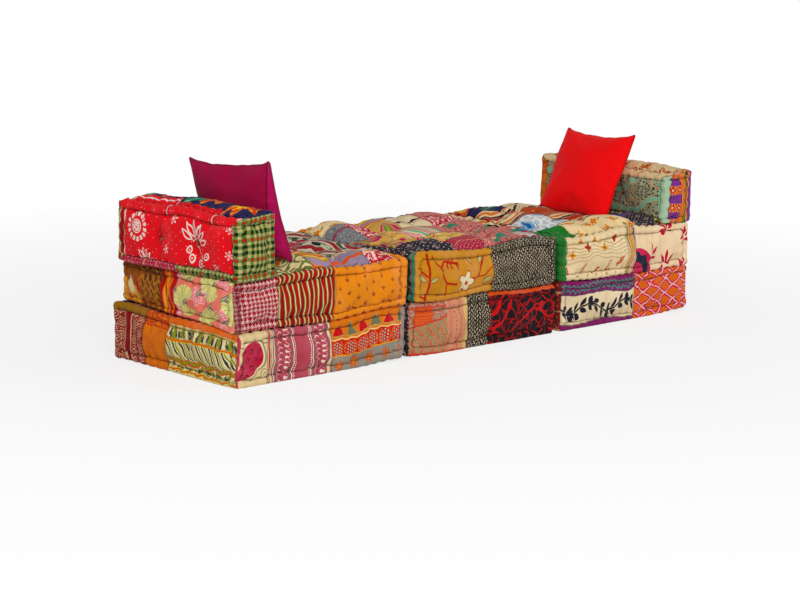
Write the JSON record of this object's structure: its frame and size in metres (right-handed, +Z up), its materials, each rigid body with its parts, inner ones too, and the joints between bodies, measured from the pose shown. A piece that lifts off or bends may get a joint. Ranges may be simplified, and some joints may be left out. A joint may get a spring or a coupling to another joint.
{
  "type": "modular floor sofa",
  "caption": "Low floor sofa of stacked, tufted patchwork mattresses in a row, with a patchwork bolster at each end and a plain throw pillow leaning on each bolster.",
  "frame": {"origin": "on the floor, under the middle of the middle lower mattress", "axes": "+X along the row towards its right end as seen from the front, +Y from the front to the back, +Z up"},
  "size_m": [2.177, 0.6336, 0.6659],
  "materials": {
    "patchwork_border": "matte printed cotton patchwork",
    "patchwork_face": "matte printed cotton patchwork",
    "magenta_cotton": "matte plain cotton",
    "red_cotton": "matte plain cotton",
    "cotton_filling": "raw cotton wadding",
    "tuft_twine": "waxed cotton twine"
  },
  "bodies": {
    "left_lower_mattress": {"left_lower_mattress_border": "patchwork_border", "left_lower_mattress_top_panel": "patchwork_face", "left_lower_mattress_bottom_panel": "patchwork_face", "left_lower_mattress_filling": "cotton_filling", "left_lower_mattress_tuft_ties": "tuft_twine"},
    "left_upper_mattress": {"left_upper_mattress_border": "patchwork_border", "left_upper_mattress_top_panel": "patchwork_face", "left_upper_mattress_bottom_panel": "patchwork_face", "left_upper_mattress_filling": "cotton_filling", "left_upper_mattress_tuft_ties": "tuft_twine"},
    "middle_lower_mattress": {"middle_lower_mattress_border": "patchwork_border", "middle_lower_mattress_top_panel": "patchwork_face", "middle_lower_mattress_bottom_panel": "patchwork_face", "middle_lower_mattress_filling": "cotton_filling", "middle_lower_mattress_tuft_ties": "tuft_twine"},
    "middle_upper_mattress": {"middle_upper_mattress_border": "patchwork_border", "middle_upper_mattress_top_panel": "patchwork_face", "middle_upper_mattress_bottom_panel": "patchwork_face", "middle_upper_mattress_filling": "cotton_filling", "middle_upper_mattress_tuft_ties": "tuft_twine"},
    "right_lower_mattress": {"right_lower_mattress_border": "patchwork_border", "right_lower_mattress_top_panel": "patchwork_face", "right_lower_mattress_bottom_panel": "patchwork_face", "right_lower_mattress_filling": "cotton_filling", "right_lower_mattress_tuft_ties": "tuft_twine"},
    "right_upper_mattress": {"right_upper_mattress_border": "patchwork_border", "right_upper_mattress_top_panel": "patchwork_face", "right_upper_mattress_bottom_panel": "patchwork_face", "right_upper_mattress_filling": "cotton_filling", "right_upper_mattress_tuft_ties": "tuft_twine"},
    "left_bolster": {"left_bolster_border": "patchwork_border", "left_bolster_inner_panel": "patchwork_face", "left_bolster_outer_panel": "patchwork_face", "left_bolster_filling": "cotton_filling", "left_bolster_tuft_ties": "tuft_twine"},
    "left_pillow": {"left_pillow_front_cover": "magenta_cotton", "left_pillow_back_cover": "magenta_cotton", "left_pillow_inner_pad": "cotton_filling"},
    "right_bolster": {"right_bolster_border": "patchwork_border", "right_bolster_inner_panel": "patchwork_face", "right_bolster_outer_panel": "patchwork_face", "right_bolster_filling": "cotton_filling", "right_bolster_tuft_ties": "tuft_twine"},
    "right_pillow": {"right_pillow_front_cover": "red_cotton", "right_pillow_back_cover": "red_cotton", "right_pillow_inner_pad": "cotton_filling"}
  },
  "joints": [
    {"name": "left_stack_slide", "type": "slide", "parent": "middle_lower_mattress", "child": "left_lower_mattress", "axis": [-1, 0, 0], "range_m": [0, 0.4]},
    {"name": "right_stack_slide", "type": "slide", "parent": "middle_lower_mattress", "child": "right_lower_mattress", "axis": [1, 0, 0], "range_m": [0, 0.4]},
    {"name": "middle_upper_mattress_lift", "type": "slide", "parent": "middle_lower_mattress", "child": "middle_upper_mattress", "axis": [0, 0, 1], "range_m": [0, 0.4]},
    {"name": "left_upper_mattress_lift", "type": "slide", "parent": "left_lower_mattress", "child": "left_upper_mattress", "axis": [0, 0, 1], "range_m": [0, 0.4]},
    {"name": "right_upper_mattress_lift", "type": "slide", "parent": "right_lower_mattress", "child": "right_upper_mattress", "axis": [0, 0, 1], "range_m": [0, 0.4]},
    {"name": "left_bolster_slide", "type": "slide", "parent": "left_upper_mattress", "child": "left_bolster", "axis": [-1, 0, 0], "range_m": [0, 0.2]},
    {"name": "right_bolster_slide", "type": "slide", "parent": "right_upper_mattress", "child": "right_bolster", "axis": [1, 0, 0], "range_m": [0, 0.2]},
    {"name": "left_pillow_lift", "type": "slide", "parent": "left_upper_mattress", "child": "left_pillow", "axis": [0, 0, 1], "range_m": [0, 0.4]},
    {"name": "right_pillow_lift", "type": "slide", "parent": "right_upper_mattress", "child": "right_pillow", "axis": [0, 0, 1], "range_m": [0, 0.4]}
  ]
}
